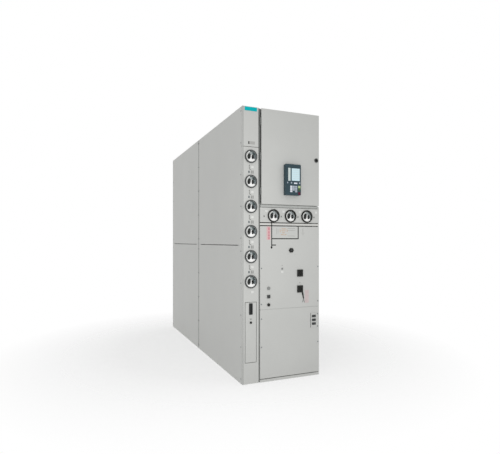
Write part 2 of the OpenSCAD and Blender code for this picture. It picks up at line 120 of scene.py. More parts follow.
class SwitchgearStage(bpy.types.PropertyGroup):
    """Camera, floor and light."""

    eye: vector("Camera", (-1.6868, -4.6217, 1.212), "Place of the camera",
                subtype="TRANSLATION", unit="LENGTH")
    turn: number("Turn", math.radians(-22.915), "Turn of the camera away from the depth axis",
                 subtype="ANGLE", unit="ROTATION")
    focal_pixels: number("Focal length", 421.97, "Focal length in pixels of the photograph's frame")
    frame_width: number("Frame width", 500.0, "Width of the photograph's frame in pixels")
    shift: vector("Shift", (-0.002, 0.028), "Shift of the camera across and up, in frame widths")
    floor: colour("Floor", "FBFBFB", "Pale studio floor")
    floor_size: length("Floor size", 60000, "Side of the floor")
    floor_near: length("Floor near", 1200, "Distance within which the floor is at its strongest")
    floor_far: length("Floor far", 2600, "Distance beyond which only the white room shows")
    floor_share: number("Floor share", 0.45, "How far the floor covers the white room near the object")
    key_place: vector("Front light", (-0.85, -3.2, 1.33), "Place of the soft lamp by the left corner",
                      subtype="TRANSLATION", unit="LENGTH")
    key_size: length("Front light size", 900, "Side of the soft lamp")
    key_power: number("Front light power", 15.2, "Power of the soft lamp", unit="POWER")
    sky: number("Room light", 0.68, "Strength of the even light from all round")


def size(name):
    """A size of the small pieces, in millimetres."""
    return getattr(bpy.context.scene.switchgear_sizes, name) / MM


# Materials

GLOSS_SPREAD = 0.06
GRAIN_STRENGTH = 0.6
RAMP_ENDS = (0.3, 0.7)


def add_node(tree, kind, sockets=None, **settings):
    """Adds a node with its settings; sockets maps an input to a value or to the output that feeds it."""
    node = tree.nodes.new(kind)
    for key, value in settings.items():
        setattr(node, key, value)
    for key, value in (sockets or {}).items():
        if isinstance(value, bpy.types.NodeSocket):
            tree.links.new(value, node.inputs[key])
        else:
            node.inputs[key].default_value = value
    return node


def start_material(name):
    """A new node material, its tree and the Object coordinates in it."""
    material = bpy.data.materials.new(name)
    material.use_nodes = True
    tree = material.node_tree
    tree.nodes.clear()
    coords = add_node(tree, "ShaderNodeTexCoord").outputs["Object"]
    return material, tree, coords


def end_material(material, tree, sockets):
    """Closes a material with a principled surface."""
    shader = add_node(tree, "ShaderNodeBsdfPrincipled", sockets)
    add_node(tree, "ShaderNodeOutputMaterial", {"Surface": shader.outputs["BSDF"]})
    return material


def noise(tree, coords, across, detail):
    """A noise between 0 and 1 whose blotches are that many millimetres across."""
    return add_node(tree, "ShaderNodeTexNoise", {
        "Vector": coords, "Scale": 1 / (across * MM), "Detail": detail}).outputs["Fac"]


def spread_over(tree, value, low, high):
    """A value from 0 to 1 turned into one from low to high."""
    return add_node(tree, "ShaderNodeMapRange", {
        "Value": value, "To Min": low, "To Max": high}).outputs["Result"]


def shades(tree, fac, base, spread):
    """A colour that wanders a little darker and lighter than base as fac goes from 0 to 1."""
    ramp = add_node(tree, "ShaderNodeValToRGB", {"Fac": fac})
    for stop, factor, position in zip(ramp.color_ramp.elements, (1 - spread, 1 + spread), RAMP_ENDS):
        stop.color = (*[min(c * factor, 1.0) for c in base], 1)
        stop.position = position
    return ramp.outputs["Color"]


def coated(name, base, roughness, grain, cloud, spread, height, **sockets):
    """A coated or moulded surface: cloudy colour, uneven gloss and a fine raised grain."""
    material, tree, coords = start_material(name)
    clouds = noise(tree, coords, cloud, 4.0)
    bump = add_node(tree, "ShaderNodeBump", {
        "Height": noise(tree, coords, grain, 2.0), "Strength": GRAIN_STRENGTH, "Distance": height * MM})
    return end_material(material, tree, {
        "Base Color": shades(tree, clouds, base, spread),
        "Roughness": spread_over(tree, clouds, roughness - GLOSS_SPREAD, roughness + GLOSS_SPREAD),
        "Normal": bump.outputs["Normal"], **sockets})


def powder_coat(name, base, roughness=0.5):
    """Polyester powder coat on sheet steel: an even satin skin with a faint orange peel.
    The peel is about 1 mm across, drawn at 4 mm so that it shows."""
    return coated(name, base, roughness, grain=4.0, cloud=420.0, spread=0.025, height=0.05)


def moulded(name, base, roughness=0.45):
    """Injection-moulded ABS or silicone: even colour and a fine spark-eroded grain of about 0.7 mm."""
    return coated(name, base, roughness, grain=0.7, cloud=60.0, spread=0.06, height=0.04,
                  **{"IOR": 1.53, "Specular IOR Level": 0.2})


def printed(name, base):
    """Screen-printed ink on film: flat colour, a dry matt sheen and a slightly uneven lay."""
    return coated(name, base, 0.65, grain=1.5, cloud=25.0, spread=0.05, height=0.01,
                  **{"Specular IOR Level": 0.15})


def enamel(name, base, shine):
    """Stoved enamel on a thin plate: smooth, glossy and nearly even."""
    return coated(name, base, 0.34, grain=6.0, cloud=30.0, spread=0.03, height=0.01,
                  **{"Specular IOR Level": shine})


def rubber(name, base):
    """Extruded EPDM rubber: black, dull and a little dusty."""
    return coated(name, base, 0.8, grain=1.0, cloud=40.0, spread=0.15, height=0.05)


def plated_steel(name, base):
    """Passivated zinc plating on steel: a dulled metal with a cloudy spangle of a few millimetres."""
    return coated(name, base, 0.34, grain=1.2, cloud=5.0, spread=0.08, height=0.01, Metallic=0.4)


def gauge_glass(name, base):
    """Flat float glass over a dial: clear, with only its gloss to see.
    Dust makes the gloss uneven, about 18 mm across."""
    material, tree, coords = start_material(name)
    return end_material(material, tree, {
        "Base Color": (*base, 1), "Roughness": spread_over(tree, noise(tree, coords, 18, 3.0), 0.03, 0.1),
        "IOR": 1.52, "Specular IOR Level": 0.12, "Alpha": 0.015})


def display_film(name, base):
    """A liquid-crystal display behind clear film: pale, smooth, with a faint cell grid of 1.5 mm."""
    material, tree, coords = start_material(name)
    cells = add_node(tree, "ShaderNodeTexChecker", {
        "Vector": coords, "Color1": (*base, 1), "Color2": (*[c * 0.93 for c in base], 1),
        "Scale": 1 / (1.5 * MM)})
    return end_material(material, tree, {
        "Base Color": cells.outputs["Color"], "Roughness": 0.25, "IOR": 1.49})


# Each finish: its maker, its colour, what has it, and the roughness or shine where it isn't the maker's own
FINISHES = {
    "light_grey_powder_coat": (powder_coat, "C5C6C3", "Covers, inner walls and caps in the seams"),
    "pale_grey_powder_coat": (powder_coat, "CFCFCB", "Narrow light band"),
    # Mid grey of the door sill and corner trim; on the seam tongue it is painted shade of the seam
    "mid_grey_powder_coat": (powder_coat, "B4B6B3", "Door sill, corner trim and seam tongue"),
    "grey_frame_paint": (powder_coat, "878987", "Frame, seen in the gaps between covers", 0.6),
    # Hinges kept dark to sit unseen in the door gap's shade, and a liner that is painted shade of that gap
    "dark_hinge_paint": (powder_coat, "707270", "Hinges and the liner behind the door's gap", 0.6),
    "teal_enamel": (enamel, "00B6BC", "Name plate", 0.1),
    "white_enamel": (enamel, "FAFAF8", "Dials and pointers", 0.3),
    "black_abs_bezel": (moulded, "3E4040", "Bezels, sockets and rings", 0.4),
    "charcoal_abs": (moulded, "4A4C4C", "Bezels of the end wall's gauges", 0.4),
    "black_abs": (moulded, "1B1C19", "Buttons, lever and the feeder gauges' bezels"),
    "grey_abs": (moulded, "8B8D8B", "Upper status button, key switch and the lever's tails"),
    "slate_abs": (moulded, "33474F", "Relay"),
    "pale_silicone": (moulded, "E2E6EE", "Pale keys", 0.6),
    "grey_silicone": (moulded, "AEB7C2", "Blue-grey keys", 0.6),
    "green_silicone": (moulded, "B7CB93", "Pale green key", 0.6),
    "dark_green_silicone": (moulded, "48653A", "Dark green key", 0.6),
    "dark_red_silicone": (moulded, "571F33", "Dark red key", 0.6),
    "slate_print": (printed, "636B6E", "Zones of the end wall gauges' dials and dots below them"),
    # Painted shade of the bezel, on the upper right of the end wall gauges' dials
    "dark_slate_print": (printed, "3A4647", "Upper right of the end wall gauges' dials"),
    "grey_print": (printed, "A0A6A6", "Arches of the dials"),
    "feeder_print": (printed, "7F8586", "Zones of the feeder gauges' dials"),
    "black_print": (printed, "0E0F0E", "Mimic lines, windows and ticks"),
    "red_print": (printed, "CC8C94", "Faded marks on the red strip"),
    "pale_red_film": (printed, "D8B7B7", "Red strip"),
    "blush_film": (printed, "CDBFBE", "Label beside the locking lever"),
    "orange_print": (printed, "CDAA8C", "Orange symbol"),
    "faint_print": (printed, "B0B0AD", "Faint symbols, dots and the relay's lamps"),
    "label_print": (printed, "8A8B88", "Marks by the gauges"),
    "label_film": (printed, "DCDDDA", "Blank labels and scale bands"),
    "lamp_film": (printed, "CEDAD8", "Relay's lamp strip and the rules of its screen"),
    "display_film": (display_film, "D3EDF5", "Relay's screen"),
    # Black rubber of the door gasket, and of strips that are painted shade in the seams, along the strip's
    # edges and beside the tap plate
    "black_epdm": (rubber, "222322", "Seals, edgings and gasket"),
    "passivated_steel": (plated_steel, "868A8A", "Screws and contact pins"),
    "float_glass": (gauge_glass, "E8F0EE", "Glass of the gauges"),
}
made = {}


class SwitchgearColours(bpy.types.PropertyGroup):
    """Colours of the finishes, one for each."""

    __annotations__ = {
        name: colour(name.replace("_", " ").capitalize(), hex_colour, use)
        for name, (maker, hex_colour, use, *more) in FINISHES.items()}


def coat(obj, finish_name):
    """Gives an object the finish of that name, which is made once."""
    if finish_name not in made:
        maker, more = FINISHES[finish_name][0], FINISHES[finish_name][3:]
        base = getattr(bpy.context.scene.switchgear_colours, finish_name)
        made[finish_name] = maker(finish_name, base, *more)
    obj.data.materials.clear()
    obj.data.materials.append(made[finish_name])


def add_bevel(obj, width, segments=2):
    """A modifier that rounds an object's sharp edges."""
    bevel = obj.modifiers.new("rounded_edges", "BEVEL")
    bevel.width = width * MM
    bevel.segments = segments
    bevel.limit_method = "ANGLE"
    bevel.angle_limit = SHARP
    return bevel


def coat_node(node, finish_name, edge):
    """Gives a CAD node its finish, and rounded edges where it has them, without a change to its mesh."""
    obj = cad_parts[node]
    coat(obj, finish_name)
    if edge:
        weld = obj.modifiers.new("merge", "WELD")
        weld.merge_threshold = MERGE
        flat = obj.modifiers.new("whole_faces", "DECIMATE")
        flat.decimate_type = "DISSOLVE"
        flat.angle_limit = FLAT
        add_bevel(obj, edge).harden_normals = True


# Modelling

def off(x=0.0, y=0.0, z=0.0):
    """An offset along the three axes."""
    return Vector((x * MM, y * MM, z * MM))


def spot(x, z, y=0.0):
    """A place from the left edge, from the floor and behind the front."""
    return Vector((LEFT, FRONT, 0)) + off(x, y, z)


def front_centre(node):
    """The middle of a CAD node's front, from its box."""
    low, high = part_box(node)
    return Vector(((low.x + high.x) / 2, low.y, (low.z + high.z) / 2))


def select_only(*objs):
    if bpy.context.mode != "OBJECT":
        bpy.ops.object.mode_set(mode="OBJECT")
    bpy.ops.object.select_all(action="DESELECT")
    for obj in objs:
        obj.select_set(True)
    bpy.context.view_layer.objects.active = objs[0] if objs else None


def settle(piece):
    """Puts a piece's place, turn and scale into its mesh."""
    select_only(piece)
    bpy.ops.object.transform_apply(location=True, rotation=True, scale=True)
    return piece


def new_piece(name, scale=(1, 1, 1)):
    """Names the primitive that was just added, scales it and settles it."""
    piece = bpy.context.active_object
    piece.name = piece.data.name = name
    piece.scale = [a * b for a, b in zip(piece.scale, scale)]
    return settle(piece)


def tilted_box(name, centre, turn, sides):
    """A box turned in the plane of the front, as a start; its sides are in metres."""
    select_only()
    bpy.ops.mesh.primitive_cube_add(size=1, location=centre, rotation=(0, turn, 0), scale=sides)
    return new_piece(name)


def box(name, low, high):
    """A box between two corners, as a start."""
    low, high = Vector(low), Vector(high)
    return tilted_box(name, (low + high) / 2, 0, high - low)


def front_box(name, centre, w, h, thick, *steps):
    """A box that stands out of the front, its face drawn in steps: centre is on its back face."""
    piece = box(name, centre - off(w / 2, thick, h / 2), centre + off(w / 2, 0, h / 2))
    return step_front(piece, *steps)


def front_disc(name, centre, radius, thick, *steps, vertices=48, stretch=1.0):
    """A disc that stands out of the front, its face drawn in steps: centre is on its back face."""
    select_only()
    bpy.ops.mesh.primitive_cylinder_add(
        vertices=vertices, radius=radius * MM, depth=thick * MM, location=centre - off(0, thick / 2),
        rotation=FACING_FRONT)
    return step_front(new_piece(name, (1, stretch, 1)), *steps)


def shape(piece, wanted, work):
    """Selects the faces that wanted accepts and works on them in edit mode."""
    select_only(piece)
    bpy.ops.object.mode_set(mode="EDIT")
    bpy.ops.mesh.select_mode(type="FACE")
    bpy.ops.mesh.select_all(action="DESELECT")
    mesh = bmesh.from_edit_mesh(piece.data)
    for face in mesh.faces:
        face.select_set(bool(wanted(face)))
    bmesh.update_edit_mesh(piece.data)
    work()
    bpy.ops.object.mode_set(mode="OBJECT")
    return piece


def step_front(piece, *steps):
    """Draws outlines one inside another on a piece's front; a step is its inset and its rise."""
    def draw():
        for thickness, rise in steps:
            bpy.ops.mesh.inset(thickness=thickness * MM, depth=rise * MM)

    return shape(piece, lambda face: face.normal.y < -0.9, draw) if steps else piece


def round_edges(piece, width, segments=2):
    """Rounds the sharp edges of a piece for good."""
    select_only(piece)
    bpy.ops.object.modifier_apply(modifier=add_bevel(piece, width, segments).name)
    bpy.ops.object.shade_smooth_by_angle(angle=SHARP)
    return piece


def join(name, parts):
    """Joins parts to one piece of that name."""
    select_only(*parts)
    if len(parts) > 1:
        bpy.ops.object.join()
    piece = bpy.context.active_object
    piece.name = piece.data.name = name
    return piece


SECTOR_STEP = 6


def sector(name, inner, outer, start, end, thick):
    """A flat ring or part of one round the Y axis, between two angles from +X towards +Z in degrees."""
    select_only()
    bpy.ops.mesh.primitive_plane_add(
        size=1, location=off((inner + outer) / 2), rotation=FACING_FRONT)
    piece = new_piece(name, ((outer - inner) * MM, 1, 1))
    bpy.ops.object.mode_set(mode="EDIT")
    bpy.ops.mesh.select_mode(type="VERT")
    bpy.ops.mesh.select_all(action="DESELECT")
    mesh = bmesh.from_edit_mesh(piece.data)
    for vertex in mesh.verts:
        vertex.select_set(vertex.co.z > 0)
    mesh.select_flush_mode()
    bmesh.update_edit_mesh(piece.data)
    bpy.ops.mesh.delete(type="VERT")
    # The plane's lower edge is left, half a metre down; raised to the axis, it is spun to the flat shape
    bpy.ops.mesh.select_all(action="SELECT")
    bpy.ops.transform.translate(value=(0, 0, 0.5))
    bpy.ops.mesh.spin(steps=max(6, round(abs(end - start) / SECTOR_STEP)),
                      angle=math.radians(end - start), center=(0, 0, 0), axis=(0, 1, 0))
    bpy.ops.mesh.select_all(action="SELECT")
    bpy.ops.mesh.remove_doubles(threshold=MERGE)
    bpy.ops.mesh.extrude_region_move(TRANSFORM_OT_translate={"value": off(0, -thick)})
    bpy.ops.mesh.select_all(action="SELECT")
    bpy.ops.mesh.normals_make_consistent(inside=False)
    bpy.ops.object.mode_set(mode="OBJECT")
    piece.rotation_euler = (0, -math.radians(start), 0)
    return settle(piece)


CABINET = "cabinet"
DOOR = "door"
LIGHT = "light_grey_paint"
BLACK = "black_plastic"


def put(piece, finish_name, body=CABINET):
    """Gives a finished piece its material and its body."""
    coat(piece, finish_name)
    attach(piece, body)


def put_copies(name, piece, offsets, finish_name, body=CABINET):
    """Copies a piece to each offset, each copy with its own mesh, and puts them as one piece."""
    copies = []
    for offset in offsets:
        select_only(piece)
        bpy.ops.object.duplicate(linked=False)
        copy = bpy.context.active_object
        bpy.ops.transform.translate(value=offset)
        copies.append(settle(copy))
    bpy.data.objects.remove(piece)
    put(join(name, copies), finish_name, body)


COVERS = [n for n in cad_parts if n.endswith(("_cover", "_sheet")) and n != "shaft_cover"] + [
    "operating_panel", "gauge_panel", "kick_plate", "tap_plate", "lv_door"]


class SWITCHGEAR_OT_finishes(bpy.types.Operator):
    """Gives every CAD piece its finish and its folded or moulded edges"""

    bl_idname = "switchgear.finishes"
    bl_label = "Finishes"

    # Finish, share of the edge radius, nodes
    coats = (
        ("light_grey_powder_coat", 1, COVERS),
        ("light_grey_powder_coat", 1 / 2, ("lv_floor", "lv_back_wall", "lv_side_walls")),
        ("mid_grey_powder_coat", 1, ("door_sill",)),
        ("pale_grey_powder_coat", 1, ("light_band",)),
        ("grey_frame_paint", 0, ("base_side_rails", "base_cross_rails", "frame_posts")),
        # Hinges kept dark so that they read as the door gap's shade
        ("dark_hinge_paint", 0, ("hinge_pins", "hinge_knuckles")),
        ("teal_enamel", 1 / 3, ("name_plate",)),
        ("slate_abs", 1, ("relay",)),
        ("charcoal_abs", 0, ("end_wall_gauges",)),
        ("black_abs", 0, ("feeder_gauges",)),
        ("black_abs", 1 / 2, ("access_lock", "breaker_buttons", "shaft_cover", "status_buttons",
                              "locking_lever", "lock_insert")),
        ("black_abs_bezel", 1 / 2, ("access_grip", "tap_sockets", "lock_housing")),
    )

    def execute(self, context):
        for finish_name, share, nodes in self.coats:
            for node in nodes:
                coat_node(node, finish_name, share * size("edge"))
        return {"FINISHED"}


def gauge_centres(node, count, along):
    """Centres of a row of gauges on their fronts, from the node's box; along is 0 for X, 2 for Z."""
    low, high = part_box(node)
    radius = (high[2 - along] - low[2 - along]) / 2
    first, last = low[along] + radius, high[along] - radius
    centres = []
    for i in range(count):
        centre = front_centre(node)
        centre[along] = first + (last - first) * i / (count - 1)
        centres.append(centre)
    return centres


def wall_gauges():
    return gauge_centres("end_wall_gauges", 6, 2)


def feeder_gauges():
    return gauge_centres("feeder_gauges", 3, 0)


class SWITCHGEAR_OT_gauges(bpy.types.Operator):
    """Fills the gauges: dial, printed fields, painted shade of the bezel on the upper right, ticks, pointer
    and glass
    """

    bl_idname = "switchgear.gauges"
    bl_label = "Gauges"

    dial_sink, dial_r = 7.0, 46.0
    # Windows: centre, radius, stretch, lean in degrees
    windows = ((-18, 0.5, 15.5, 1.68, 8), (15, -4, 12, 1.6, 0))
    # Dark edge of the feeder dials, wider from 15 to 75 degrees as painted shade of the bezel: inner radius,
    # start and end in degrees
    arcs = ((42, -40, 15), (37.5, 15, 75), (42, 75, 140))
    # Ticks: number, first angle and step in degrees, radius, length; each fourth one is wide
    tick_count, tick_first, tick_step, tick_r, tick_l = 9, 140, 20, 43, 3.5
    tick_wide, tick_narrow = 1.4, 0.8
    pointer_tip = 0.3

    def execute(self, context):
        # The end wall gauges' upper sectors are painted shade of the bezel
        self.fill("end_wall", wall_gauges(), "slate_print", "dark_slate_print")
        self.fill("feeder", feeder_gauges(), "feeder_print", "feeder_print")
        return {"FINISHED"}

    def fill(self, group, centres, zone_finish, upper_finish):
        film = size("print_t")
        middle = Vector((0, 0, 0))
        places = [c + off(0, self.dial_sink) for c in centres]
        dial = front_disc("dial", middle, self.dial_r, 2 * film, (3, 0), (1, -film), vertices=64)
        put_copies(f"{group}_dials", dial, places, "white_enamel")

        # Printed fields, and on the end wall gauges an upper sector that is painted shade of the bezel: inner
        # and outer radius, start and end in degrees, height in films
        for name, inner, outer, start, end, films, finish_name, slot in (
                ("scale_bands", 30, 45, 118, 222, 1.8, "label_film", LIGHT),
                ("zones", 21, 45, -34, 22, 2.2, zone_finish, BLACK),
                ("upper_zones", 21, 45, 22, 104, 2.2, upper_finish, BLACK),
                ("arches", 12, 36, 66, 128, 2.5, "grey_print", BLACK)):
            field = sector(name, inner, outer, start, end, films * film)
            put_copies(f"{group}_{name}", field, places, finish_name)

        lobes = []
        for x, z, r, stretch, lean in self.windows:
            lobe = front_disc("lobe", middle, r, 2.8 * film, (1.2, 0.2 * film), vertices=40, stretch=stretch)
            lobe.rotation_euler = (0, math.radians(lean), 0)
            lobe.location = off(x, 0, z)
            lobes.append(settle(lobe))
        put_copies(f"{group}_windows", join("windows", lobes), places, "black_print")

        ticks = []
        for i in range(self.tick_count):
            angle = math.radians(self.tick_first + self.tick_step * i)
            centre = off(self.tick_r * math.cos(angle), -1.2 * film, self.tick_r * math.sin(angle))
            width = self.tick_narrow if i % 4 else self.tick_wide
            tick = tilted_box("tick", centre, -angle, off(self.tick_l, 2.4 * film, width))
            ticks.append(round_edges(tick, 0.2, 1))
        put_copies(f"{group}_ticks", join("ticks", ticks), places, "black_print")

        pointer = front_box("pointer", off(0, 0, -8), 14, 32, 3.4 * film)
        shape(pointer, lambda face: face.normal.z > 0.9,
              lambda: bpy.ops.transform.resize(value=(self.pointer_tip, 1, 1), center_override=(0, 0, 0)))
        hub = front_disc("hub", off(0, 0, -12), 4, 4.4 * film, (1.2, 0.4 * film), vertices=32)
        pointer = join("pointer", [round_edges(pointer, 0.4), round_edges(hub, 0.3)])
        put_copies(f"{group}_pointers", pointer, places, "white_enamel")

        # A black ring round the feeder dials, widened on the upper right as painted shade of the bezel
        if group == "feeder":
            arcs = [sector("arc", inner, self.dial_r, start, end, 3 * film)
                    for inner, start, end in self.arcs]
            put_copies("feeder_dial_rings", join("ring", arcs), places, "black_abs")

        glass = front_disc("glass", off(0, 2.5 - self.dial_sink), self.dial_r - 0.2, size("glass_t"),
                           (1.2, 0.3), vertices=64)
        put_copies(f"{group}_glasses", glass, places, "float_glass")


class SWITCHGEAR_OT_labels(bpy.types.Operator):
    """Lays blank labels and short marks by the gauges, and a rim on the blank name plate"""

    bl_idname = "switchgear.labels"
    bl_label = "Labels"

    # Marks below a gauge: x and z from its centre, width, height
    marks = ((-13.5, -79, 8, 15), (-13, -98, 8, 16), (-5, -110, 14, 7), (5, -131, 8, 26), (20, -131, 9, 26))
    strip_label_z = 2044

    def execute(self, context):
        film = size("print_t")
        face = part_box("strip_cover")[0].y
        centres = [Vector((c.x, face, c.z)) for c in wall_gauges()]
        label = front_box("label", off(14, 0, -89), size("label_w"), size("label_h"), 2 * film,
                          (1.5, -0.4 * film))
        put_copies("gauge_labels", label, centres, "label_film")
        marks = [round_edges(front_box("mark", off(x, 0, z), w, h, film), 0.2, 1)
                 for x, z, w, h in self.marks]
        put_copies("gauge_marks", join("marks", marks), centres[1:], "label_print")
        dot = front_box("dot", off(-17, 0, -131), 12, 19, film, (1.5, 0.2 * film))
        put_copies("gauge_dots", dot, centres[1:], "slate_print")

        plate = front_box("strip_label", spot(86, self.strip_label_z), 58, 24, 2 * film, (2, -0.5 * film))
        put(plate, "faint_print")
        bar = front_box("strip_label_bar", spot(59, self.strip_label_z, -2 * film), 8, 24, film)
        put(round_edges(bar, 0.2, 1), "black_print")
        low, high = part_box("name_plate")
        rim = box("name_plate_rim", low - off(0, film), (high.x, low.y, high.z))
        put(step_front(rim, (2.5, 0), (0.8, -0.8 * film)), "teal_enamel")

        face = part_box("gauge_panel")[0].y
        feeders = [Vector((c.x, face, c.z)) for c in feeder_gauges()]
        feeders.append(2 * feeders[2] - feeders[1])
        label = front_box("feeder_label", off(-68, 0, 38), 22, 20, 2 * film, (1.2, -0.4 * film))
        put_copies("feeder_labels", label, feeders, "label_film")
        mark = front_box("feeder_mark", off(-89, 0, -6), 13, 14, film, (1.5, 0.2 * film))
        put_copies("feeder_marks", mark, feeders, "label_print")
        return {"FINISHED"}


class SWITCHGEAR_OT_mimic(bpy.types.Operator):
    """Lays the mimic diagram's lines, arrow and symbols and the red strip on the front"""

    bl_idname = "switchgear.mimic"
    bl_label = "Mimic diagram"

    left_x, stub_x, right_x = 274, 311, 535
    cross_z, stub_z, end_z = 1232, 1177, 1158
    # Red marks: height of the centre, height; symbols: x and z of both ends
    red_marks = ((1317, 26), (1286, 22), (1260, 18), (1236, 20))
    orange = (
        (372, 1318, 412, 1318), (372, 1301, 406, 1301), (378, 1284, 398, 1284), (366, 1267, 388, 1267),
        (400, 1267, 414, 1267), (356, 1310, 356, 1290), (424, 1312, 424, 1296))
    faint = (
        (322, 1322, 322, 1272), (336, 1310, 336, 1284), (583, 1325, 583, 1290), (572, 1282, 596, 1282),
        (578, 1268, 590, 1268), (430, 1322, 500, 1322), (430, 1304, 500, 1304), (430, 1256, 500, 1256))

    def strokes(self, name, lines, width, finish_name, slot):
        """Straight printed strokes between two places each, their ends squared by half the width."""
        half = width / 2
        parts = []
        for x0, z0, x1, z1 in lines:
            low = spot(min(x0, x1) - half, min(z0, z1) - half, -size("print_t"))
            high = spot(max(x0, x1) + half, max(z0, z1) + half)
            parts.append(round_edges(box("stroke", low, high), 0.15, 1))
        put(join(name, parts), finish_name)

    def execute(self, context):
        film = size("print_t")
        width = size("line_w")
        half = width / 2
        left, right, cross, stub = self.left_x, self.right_x, self.cross_z, self.stub_z
        panel_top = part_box("operating_panel")[1].z / MM
        band_low, band_high = [v.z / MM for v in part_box("light_band")]
        panel_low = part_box("gauge_panel")[0].z / MM
        gauge_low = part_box("feeder_gauges")[0].z / MM
        self.strokes("mimic_lines", (
            (left, self.end_z, left, panel_top - half), (left, band_low + half, left, band_high - half),
            (left, panel_low + half, left, gauge_low + half), (left + width, cross, right - width, cross),
            (right, cross, right, panel_top - half), (left + width, stub, self.stub_x, stub),
        ), width, "black_print", BLACK)
        arrow = front_disc("mimic_arrow", spot(left - 1, self.end_z - 1), 10, 1.6 * film, (1.5, 0.2 * film),
                           vertices=4, stretch=1.35)
        put(arrow, "black_print")

        strip = front_box("red_strip", spot(244, 1279), 38, 114, film, (2, 0.2 * film))
        put(strip, "pale_red_film")
        marks = [round_edges(front_box("mark", spot(247, z, -1.2 * film), 16, h, 0.4 * film), 0.1, 1)
                 for z, h in self.red_marks]
        put(join("red_strip_marks", marks), "red_print")
        self.strokes("orange_symbol", self.orange, 5, "orange_print", LIGHT)
        self.strokes("faint_symbols", self.faint, 4, "faint_print", LIGHT)
        return {"FINISHED"}


class SWITCHGEAR_OT_controls(bpy.types.Operator):
    """Finishes the breaker buttons, shaft cover, status buttons, key switch and locking lever"""

    bl_idname = "switchgear.controls"
    bl_label = "Controls"

    button_half = 31.0
    well = 5.0
    key_x = 376
    # Dots on the panel: x, z, radius
    dots = ((552, 842, 7), (376, 998, 5), (440, 1098, 3), (502, 1092, 3))
    # Tails of the lever: x and z from its tip
    tails = ((-9, -34), (10, -36))

    def execute(self, context):
        self.breaker_buttons()
        self.status_buttons()
        self.marks()
        self.lever()
        return {"FINISHED"}

    def breaker_buttons(self):
        low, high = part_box("breaker_buttons")
        mid = (low.x + high.x) / 2
        heights = (low.z + self.button_half * MM, high.z - self.button_half * MM)
        plunger = front_disc("plunger", off(0, self.well), 14, 3, (3, 0), (0.6, -1), (4, 0), (0.5, 0.8))
        fronts = [Vector((mid, low.y, z)) for z in heights]
        put_copies("breaker_plungers", round_edges(plunger, 0.4), fronts, "black_abs")
        ring = sector("ring", 19.5, 21.5, 0, 360, 0.5)
        put_copies("breaker_rings", round_edges(ring, 0.1, 1), fronts, "black_abs_bezel")
        socket = front_disc("shaft_socket", front_centre("shaft_cover"), 11, 2, (2.5, 0), (0.4, -1.6),
                            vertices=6)
        put(round_edges(socket, 0.3), "black_abs_bezel")

    def status_buttons(self):
        low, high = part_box("status_buttons")
        radius = (high.x - low.x) / 2 / MM
        centre = front_centre("status_buttons")
        rise = (FRONT - low.y) / MM + 1.2
        place = centre.copy()
        place.z = low.z + radius * MM
        cap = front_disc("lower_status_cap", place, radius - 1.2, 1.5, (2, 0), (0.5, -0.7), (3.5, 0.4))
        put(round_edges(cap, 0.3), "black_abs")
        centre.y = FRONT
        side = 2 * radius + 0.6
        cap = front_box("middle_status_cap", centre, side, side, rise, (3, 0), (0.8, -0.8))
        put(round_edges(cap, 1.2), "black_abs_bezel")
        centre.z = high.z - radius * MM
        cap = front_disc("upper_status_cap", centre, radius + 0.3, rise, (2.5, 0), (0.6, -0.3), (4, 0.2))
        put(round_edges(cap, 0.5), "grey_abs")

    def marks(self):
        film = size("print_t")
        switch = front_disc("key_switch", spot(self.key_x, 970), 9, 3, (2, 0), (0.5, -1.2), (4, -1),
                            vertices=40)
        put(round_edges(switch, 0.3), "grey_abs")
        tag = front_box("key_switch_label", spot(self.key_x, 942), 24, 18, 2 * film, (1.2, -0.4 * film))
        put(tag, "label_film")
        dots = [front_disc("dot", spot(x, z), r, film, (1, 0.3 * film), vertices=32) for x, z, r in self.dots]
        put(join("panel_marks", dots), "faint_print")
        flap = front_box("lever_label", spot(622, 716), 40, 114, film, (3, 0.3 * film))
        put(flap, "blush_film")

    def lever(self):
        low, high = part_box("locking_lever")
        place = Vector((low.x, low.y, high.z)) + off(7, 0, -7)
        rivet = front_disc("lever_rivet", place, 4, 2, (1, 0.5), vertices=32)
        put(round_edges(rivet, 0.3), "black_abs")
        tip = Vector((high.x, FRONT, low.z)) + off(-4, -1.5, 3)
        tails = []
        for x, z in self.tails:
            drop = off(x, 0, z)
            sides = (4 * MM, 3 * MM, drop.length)
            tails.append(round_edges(tilted_box("tail", tip + drop / 2, math.atan2(x, z), sides), 0.6))
        put(join("lever_tails", tails), "grey_abs")


class SWITCHGEAR_OT_taps(bpy.types.Operator):
    """Sets the contact pins in the voltage tap sockets, and a black strip along their plate's left edge that
    is a painted shadow of the plate
    """

    bl_idname = "switchgear.taps"
    bl_label = "Voltage taps"

    socket_h, floor, pin_x = 20.0, 4.0, 8.0

    def execute(self, context):
        low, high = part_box("tap_sockets")
        pitch = (high.z - low.z - self.socket_h * MM) / 2
        centre = front_centre("tap_sockets")
        pins = [round_edges(front_disc("pin", centre + off(x, self.floor), 2.2, 2.4, (0.7, 0), (0.2, -1.2),
                                       vertices=24), 0.15, 1) for x in (-self.pin_x, self.pin_x)]
        rows = [Vector((0, 0, i * pitch)) for i in (-1, 0, 1)]
        put_copies("tap_contacts", join("pins", pins), rows, "passivated_steel")
        low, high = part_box("tap_plate")
        # Painted shadow: a black strip along the plate's left edge
        seal = box("tap_plate_seal", low + off(-2.5, 1.5), (low.x, high.y, high.z))
        put(round_edges(seal, 0.5), "black_epdm")
        return {"FINISHED"}


